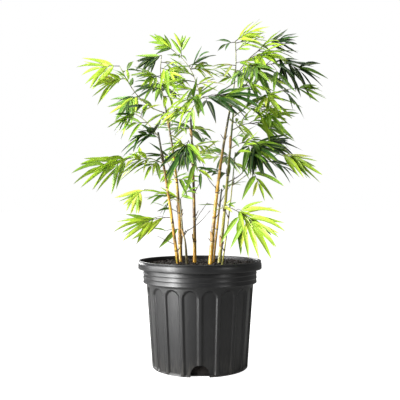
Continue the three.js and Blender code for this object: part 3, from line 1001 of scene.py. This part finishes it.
# Colours of the leaves, brightest first, and the material slot that each belongs to.
# Besides the leaves' own variety, the range holds painted light: the brightest lime tones stand in
# for light shining through backlit leaves, and the deep and dark tones are painted shade for leaves
# in shadow.
leafTones = {
    "straw": ("#C9C464", "#B2AA46", "leaf_yellow"),
    "yellow": ("#B8C24A", "#9AA83A", "leaf_yellow"),
    "bright": ("#B4CC3C", "#90B02C", "leaf_lime"),
    "lime": ("#A2C032", "#7EA026", "leaf_lime"),
    "fresh": ("#82A62C", "#5F8722", "leaf_fresh"),
    "mid": ("#5B8226", "#3F651C", "leaf_fresh"),
    "deep": ("#335A1E", "#244616", "leaf_deep"),
    "dark": ("#1E3A15", "#152B0F", "leaf_deep"),
}
# The leaves of these tones stand in for the masses of a slot.
standIns = {
    "yellow": "leaf_yellow", "bright": "leaf_lime", "fresh": "leaf_fresh", "deep": "leaf_deep",
}
# Which tones a spray of each tint is dealt. The first is its main one.
tintTones = {
    "leaf_yellow": ("bright", "lime", "yellow", "fresh", "straw"),
    "leaf_lime": ("lime", "bright", "fresh", "mid", "yellow", "fresh"),
    "leaf_fresh": ("fresh", "mid", "lime", "deep", "bright"),
    "leaf_deep": ("deep", "dark", "mid", "dark", "fresh"),
}

# What each mass of leaves grows on, and how far along that limb.
sprayPlaces = {
    "leaves_top_left_far": ("bough_left_high", 1),
    "leaves_top_left_near": ("bough_left_high", 0.8),
    "leaves_top_left_dark": ("bough_left_top", 1),
    "leaves_apex_left": ("bough_whip", 1),
    "leaves_apex_centre": ("bough_whip", 0.55),
    "leaves_left_drooping": ("bough_left_top", 0.72),
    "leaves_left_back_high": ("bough_left_top", 0.35),
    "leaves_left_upper": ("bough_left_high", 0.5),
    "leaves_left_middle": ("bough_left_mid", 1),
    "leaves_left_inner_dark": ("bough_left_mid", 0.12),
    "leaves_left_long": ("bough_left_long", 1),
    "leaves_left_front": ("bough_left_long", 0.4),
    "leaves_left_low": ("bough_left_low", 1),
    "leaves_left_basal": ("culm_left_outer", 0.36),
    "leaves_front_high": ("bough_centre_arch", 0.85),
    "leaves_hub_long": ("bough_centre_arch", 1),
    "leaves_hub_back": ("culm_centre", 0.92),
    "leaves_centre_back": ("culm_right_olive", 0.7),
    "leaves_front_drooping": ("bough_front_mid", 1),
    "leaves_back_drooping": ("bough_back_mid", 1),
    "leaves_apex_right": ("bough_leader", 1),
    "leaves_top_right_broad": ("bough_top_right", 0.5),
    "leaves_top_right_dark": ("bough_top_right", 1),
    "leaves_right_long": ("bough_right_high", 1),
    "leaves_right_back_high": ("bough_right_high", 0.6),
    "leaves_right_far": ("bough_right_mid", 1),
    "leaves_right_drooping": ("bough_right_mid", 0.6),
    "leaves_right_inner": ("bough_top_right", 0.3),
    "leaves_right_middle": ("bough_right_back", 1),
    "leaves_right_level": ("bough_right_centre", 1),
    "leaves_right_hanging": ("bough_right_centre", 0.75),
    "leaves_right_lower": ("bough_right_fork", 1),
    "leaves_right_basal": ("bough_right_low", 1),
}


# Smaller sprays between the masses: the limb, how far along it, the reach in millimetres, how many
# leaves, and the tint.
fillSprays = (
    ("bough_left_top", 0.1, (50, -44, -32), 5, "leaf_yellow"),
    ("bough_left_top", 0.5, (-62, -30, 10), 6, "leaf_lime"),
    ("bough_left_top", 0.35, (56, -20, 16), 4, "leaf_deep"),
    ("bough_left_top", 0.85, (60, 24, -20), 5, "leaf_lime"),
    ("bough_left_high", 0.3, (-46, -54, -24), 5, "leaf_deep"),
    ("bough_left_high", 0.65, (-24, -64, 30), 5, "leaf_lime"),
    ("bough_left_high", 0.9, (30, 60, 24), 4, "leaf_fresh"),
    ("bough_left_high", 0.45, (-24, 90, -10), 5, "leaf_lime"),
    ("bough_left_mid", 0.55, (-70, -20, -20), 5, "leaf_fresh"),
    ("bough_left_mid", 0.8, (14, -66, 22), 4, "leaf_lime"),
    ("bough_left_long", 0.15, (-40, -56, -40), 6, "leaf_lime"),
    ("bough_left_long", 0.7, (-44, 60, 12), 5, "leaf_fresh"),
    ("bough_left_low", 0.35, (-68, -30, -10), 4, "leaf_lime"),
    ("bough_left_low", 0.2, (-30, 44, -40), 4, "leaf_deep"),
    ("culm_left_inner", 0.2, (-78, -34, -32), 2, "leaf_lime"),
    ("culm_left_inner", 0.62, (-60, -44, 8), 5, "leaf_deep"),
    ("culm_left_inner", 0.78, (54, -50, 16), 5, "leaf_fresh"),
    ("culm_left_inner", 0.9, (-30, 94, 0), 6, "leaf_fresh"),
    ("culm_left_outer", 0.8, (52, -46, 22), 5, "leaf_lime"),
    ("culm_left_outer", 0.95, (-54, 34, 30), 4, "leaf_deep"),
    ("culm_left_outer", 0.62, (44, -56, 6), 4, "leaf_lime"),
    ("culm_centre", 0.72, (66, -34, 16), 6, "leaf_lime"),
    ("culm_centre", 0.78, (-60, -34, 22), 5, "leaf_lime"),
    ("culm_centre", 0.7, (34, -44, -56), 4, "leaf_fresh"),
    ("bough_centre_arch", 0.3, (-66, 12, -22), 5, "leaf_lime"),
    ("bough_centre_arch", 0.6, (-34, 22, -64), 4, "leaf_fresh"),
    ("bough_centre_arch", 0.95, (86, -32, -54), 5, "leaf_deep"),
    ("bough_whip", 0.25, (60, 20, 12), 5, "leaf_yellow"),
    ("bough_whip", 0.4, (-62, -22, 22), 6, "leaf_lime"),
    ("bough_whip", 0.62, (66, -12, 14), 4, "leaf_deep"),
    ("bough_whip", 0.85, (-12, -66, -20), 4, "leaf_fresh"),
    ("bough_leader", 0.98, (-44, -12, -16), 3, "leaf_deep"),
    ("bough_leader", 0.8, (60, -32, 26), 6, "leaf_lime"),
    ("bough_leader", 0.55, (64, -38, -6), 5, "leaf_lime"),
    ("bough_leader", 0.4, (0, 92, 0), 5, "leaf_fresh"),
    ("bough_top_right", 0.15, (24, -44, -64), 5, "leaf_lime"),
    ("bough_top_right", 0.75, (80, -22, -32), 5, "leaf_fresh"),
    ("bough_right_high", 0.3, (66, -44, -22), 5, "leaf_lime"),
    ("bough_right_high", 0.35, (22, 86, -20), 5, "leaf_deep"),
    ("bough_right_high", 0.8, (96, -34, -24), 5, "leaf_deep"),
    ("bough_right_mid", 0.25, (72, -44, -40), 6, "leaf_lime"),
    ("bough_right_mid", 0.4, (76, -22, -54), 5, "leaf_lime"),
    ("bough_right_mid", 0.85, (44, 62, -32), 4, "leaf_deep"),
    ("bough_right_back", 0.4, (24, -66, 22), 5, "leaf_lime"),
    ("culm_right_olive", 0.8, (44, -62, 12), 5, "leaf_fresh"),
    ("culm_right_olive", 0.58, (-54, -44, -16), 4, "leaf_deep"),
    ("culm_right_olive", 0.92, (44, 92, -12), 6, "leaf_lime"),
    ("culm_right_tall", 0.33, (-44, -16, 4), 1, "leaf_lime"),
    ("culm_right_short", 0.95, (34, 82, 22), 5, "leaf_fresh"),
    ("bough_right_centre", 0.4, (76, 30, 18), 5, "leaf_lime"),
    ("bough_right_centre", 0.9, (64, -70, -32), 5, "leaf_fresh"),
    ("bough_right_fork", 0.75, (76, 22, -44), 5, "leaf_deep"),
    ("bough_right_fork", 0.45, (24, -34, -70), 5, "leaf_lime"),
    ("culm_right_thin", 0.98, (44, -44, 32), 4, "leaf_lime"),
    ("bough_whip", 0.82, (0, -24, 54), 5, "leaf_fresh"),
    ("bough_whip", 0.55, (44, -26, 34), 4, "leaf_deep"),
    ("bough_whip", 0.15, (-72, -30, -18), 6, "leaf_lime"),
    ("bough_whip", 0.3, (-84, -10, -4), 6, "leaf_fresh"),
    ("bough_top_right", 1, (72, -18, 24), 5, "leaf_deep"),
    ("bough_top_right", 0.7, (62, -40, 38), 6, "leaf_lime"),
    ("bough_leader", 0.96, (92, 10, 4), 6, "leaf_lime"),
    ("bough_leader", 0.5, (-64, -26, -14), 5, "leaf_yellow"),
    ("bough_leader", 0.2, (-58, -30, 12), 5, "leaf_lime"),
    ("bough_left_top", 0.55, (-54, -42, -34), 6, "leaf_lime"),
    ("bough_left_top", 0.4, (62, -50, -8), 6, "leaf_fresh"),
    ("bough_left_top", 0.25, (-50, -52, -10), 6, "leaf_deep"),
    ("bough_left_top", 0.6, (78, -12, -30), 6, "leaf_lime"),
    ("bough_right_mid", 0.55, (50, -52, -62), 6, "leaf_lime"),
    ("bough_right_mid", 0.3, (102, -30, -60), 6, "leaf_lime"),
    ("bough_right_back", 0.9, (92, -30, 26), 6, "leaf_lime"),
    ("bough_right_back", 1, (112, -12, -20), 6, "leaf_fresh"),
    ("bough_right_centre", 1, (52, -32, -62), 5, "leaf_lime"),
    ("bough_right_low", 0.4, (36, -22, 10), 4, "leaf_lime"),
    ("culm_centre", 0.82, (56, -32, -16), 6, "leaf_lime"),
    ("culm_left_inner", 0.55, (-46, -42, -20), 6, "leaf_lime"),
    ("culm_left_inner", 0.5, (52, -44, -14), 6, "leaf_fresh"),
    ("culm_left_inner", 0.3, (-62, -22, 14), 2, "leaf_lime"),
    ("culm_left_short", 1, (-54, -22, 12), 5, "leaf_lime"),
    ("culm_left_short", 1, (36, -32, 30), 5, "leaf_fresh"),
)


def leafMaterial(name, light, shade):
    # Bamboo leaf: thin and leathery, with parallel veins and a paler midrib under a waxy sheen.
    material, tree = startMaterial(name)
    grown = addNode(tree, "ShaderNodeUVMap", uv_map="growth").outputs["UV"]
    where = addNode(tree, "ShaderNodeTexCoord").outputs["Object"]
    parts = addNode(tree, "ShaderNodeSeparateXYZ", {"Vector": grown})
    # The veins are about 1 mm apart.
    streakPlace = scaled(tree, grown, (11, 0.6, 1))
    streaks = noisy(tree, streakPlace, 1, 3)
    drift = noisy(tree, where, 24, 2)
    blend = maths(tree, "ADD", streaks, drift)
    share = ranged(tree, blend, (0.75, 1.25))
    blade = mixed(tree, share, linear(light), linear(shade))
    offCentre = maths(tree, "SUBTRACT", parts.outputs["X"], 0.5)
    distance = maths(tree, "ABSOLUTE", offCentre)
    rib = ranged(tree, distance, (0.02, 0.07), (0.4, 0.0))
    ribbed = mixed(tree, rib, blade, linear("#CFE08A"))
    tip = ranged(tree, parts.outputs["Y"], (0.93, 1.0), (0, 0.7))
    tipped = mixed(tree, tip, ribbed, linear("#C3A95A"))
    relief = maths(tree, "MULTIPLY_ADD", streaks, 0.8, rib)
    bump = bumped(tree, relief, 0.3, 0.0003)
    finishMaterial(tree, {
        "Base Color": tipped,
        "Roughness": 0.34,
        "IOR": 1.45,
        "Normal": bump,
    })
    return material


def leafArch(rng):
    return leafShape["arch"] * rng.uniform(-0.3, 1.0)


# One leaf: a folded, arching blade from its stalk to its tip.
def addLeaf(soup, base, tip, facing, rng, archShare):
    length = np.linalg.norm(tip - base)
    width = length * leafShape["widthShare"] * rng.uniform(*leafShape["widthVariety"])
    width = float(np.clip(width, *leafShape["widthRange"]))
    bend = (base + tip) / 2 + up * length * archShare * 2
    twist = rng.uniform(-1, 1) * leafShape["twist"]
    wave = rng.uniform(0.04, 0.12) * width
    phase = rng.uniform(0, 2 * math.pi)
    fold = leafShape["fold"] * rng.uniform(0.5, 1.3)
    first = len(soup["points"])
    count = len(leafShape["across"])
    for station, share in zip(leafShape["stations"], leafShape["widths"]):
        centre = base * (1 - station) ** 2 + bend * 2 * station * (1 - station) + tip * station ** 2
        heading = unit((bend - base) * (1 - station) + (tip - bend) * station)
        side = unit(np.cross(heading, facing))
        normal = np.cross(side, heading)
        turn = twist * (station - 0.3)
        turned = side * math.cos(turn) + normal * math.sin(turn)
        normal = np.cross(turned, heading)
        half = width / 2 * share
        for across in leafShape["across"]:
            ripple = wave * across * share * math.sin(station * 9 + phase)
            lift = abs(across) * half * fold * 2 + ripple
            soup["points"].append(centre + turned * across * half + normal * lift)
    soup["points"].append(tip)
    stations = leafShape["stations"]
    addGrid(soup, first, count, stations)
    last = first + (len(stations) - 1) * count
    for column in range(count - 1):
        soup["faces"].append((last + column, last + column + 1, last + count))
        edges = [((column + c) / (count - 1), stations[-1]) for c in (0, 1)]
        soup["uv"] += edges + [(0.5, 1)]


# The furthest points of a mass, where its leaves end.
def tipsOf(node, bud):
    points, neighbours = weldedPoints(node)
    reach = np.linalg.norm(points - bud, axis=1)
    tips = []
    for index in np.argsort(-reach):
        if reach[index] < reach.max() * 0.45:
            break
        if any(reach[other] > reach[index] for other in neighbours[index]):
            continue
        if all(np.linalg.norm(points[index] - tip) > 0.009 for tip in tips):
            tips.append(points[index])
    return tips


# A spray: a thin stem with leaves set along it by turns, ending at the given tips.
def growSpray(soups, stems, bud, tips, tones, rng, extra):
    reaches = [np.linalg.norm(tip - bud) for tip in tips]
    reach = float(np.mean(reaches))
    ahead = unit(np.mean([unit(tip - bud) for tip in tips], axis=0))
    ways = np.array([tip - bud for tip in tips] + [up * 0.01])
    flat = np.linalg.svd(ways, full_matrices=False)[2][-1]
    if flat[2] < 0:
        flat = -flat
    stemEnd = rng.uniform(*leafShape["stemShare"])
    stemPoints = [bud + ahead * reach * share + up * reach * 0.32 * share * (1 - share)
                  for share in (0, stemEnd * 0.5, stemEnd)]
    stemLine, _ = smoothLine(stemPoints, 12)
    stem = {"line": stemLine}
    addTube(stems, stemLine, np.linspace(1.0, 0.45, 12) * millimetre, 6)

    ordered = sorted(tips, key=lambda tip: float(unit(tip - bud).dot(ahead)))
    for turn, tip in enumerate(ordered):
        along = 0.12 + 0.88 * (turn + rng.random()) / len(ordered)
        base = pointOn(stem, along)
        facing = flat * 0.75 + up * 0.4 + np.array([rng.uniform(-0.35, 0.35) for _ in range(3)])
        tone = tones[0] if rng.random() < 0.62 else rng.choice(tones)
        way = tip - base
        length = np.linalg.norm(way)
        if length > leafShape["longest"]:
            fork = base + way * (1 - leafShape["longest"] * rng.uniform(0.78, 1.0) / length)
            twig, _ = smoothLine([base, (base + fork) / 2 + up * length * 0.03, fork], 6)
            addTube(stems, twig, np.linspace(0.6, 0.4, 6) * millimetre, 5)
            lean = unit(np.cross(way, flat)) * rng.choice((-1, 1)) * rng.uniform(0.45, 0.8)
            size = leafShape["longest"] * rng.uniform(0.55, 0.8)
            start = base + (fork - base) * rng.uniform(0.5, 0.95)
            end = start + unit(unit(way) + lean) * size
            addLeaf(soups[rng.choice(tones)], start, end, unit(facing), rng, leafArch(rng))
            base = fork
        addLeaf(soups[tone], base, tip, unit(facing), rng, leafArch(rng))

    for _ in range(int(round(extra * len(tips)))):
        base = pointOn(stem, rng.uniform(0.1, 0.95))
        sideways = unit(np.cross(ahead, flat))
        lean = rng.uniform(-0.9, 0.9)
        heading = unit(ahead + sideways * lean + flat * rng.uniform(-0.55, 0.35)
                       - up * rng.uniform(0, 0.35))
        size = max(reach * rng.uniform(0.42, 0.72), leafShape["shortest"])
        waver = np.array([rng.uniform(-0.4, 0.4) for _ in range(3)])
        facing = unit(flat * 0.5 + up * 0.5 + waver)
        tone = tones[0] if rng.random() < 0.4 else rng.choice(tones)
        addLeaf(soups[tone], base, base + heading * size, facing, rng, leafArch(rng))


# Tips for a spray that no mass gives: a loose fan about a reach.
def looseTips(bud, reach, count, rng):
    length = np.linalg.norm(reach)
    ahead = reach / length
    plane = unit(np.array((rng.uniform(-0.4, 0.4), -0.6, 0.65)))
    sideways = unit(np.cross(ahead, plane))
    above = np.cross(sideways, ahead)
    spread = math.radians(rng.uniform(32, 50))
    tips = []
    for leaf in range(count):
        angle = spread * (2 * (leaf + 0.5) / count - 1) if count > 1 else 0
        heading = ahead * math.cos(angle) + sideways * math.sin(angle)
        heading = heading + above * rng.uniform(-0.22, 0.22)
        tips.append(bud + unit(heading) * length * rng.uniform(0.74, 1.08))
    return tips


def buildLeaves():
    rng = random.Random(leafShape["seed"])
    soups = {tone: newSoup() for tone in leafTones}
    stems = newSoup()
    slots = {part["node"]: part["material_slot"] for part in frame["record"]["subparts"]}
    for name, (limbName, share) in sprayPlaces.items():
        bud = pointOn(limbs[limbName], share)
        tips = tipsOf(cadNodes[name], bud)
        palette = tintTones[slots[name]]
        tones = (rng.choice(palette[:2]),) + palette
        growSpray(soups, stems, bud, tips, tones, rng, leafShape["extraLeaves"])
    for limbName, share, reach, count, tint in fillSprays:
        bud = pointOn(limbs[limbName], share)
        tips = looseTips(bud, np.array(reach) * millimetre, count, rng)
        growSpray(soups, stems, bud, tips, tintTones[tint], rng, 0)
    total = 0
    for tone, (light, shade, slot) in leafTones.items():
        if not soups[tone]["faces"]:
            continue
        material = leafMaterial(tone + "BambooLeaf", light, shade)
        piece = pieceFromSoup(tone + "Leaves", soups[tone], material)
        if tone in standIns:
            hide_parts(*[name for name in sprayPlaces if slots[name] == standIns[tone]])
        total += len(soups[tone]["faces"])
    stemPiece = pieceFromSoup("sprayStems", stems, bpy.data.materials["oliveBranchRind"])
    print("leaves:", total, "faces, stems:", len(stems["faces"]))


buildLeaves()
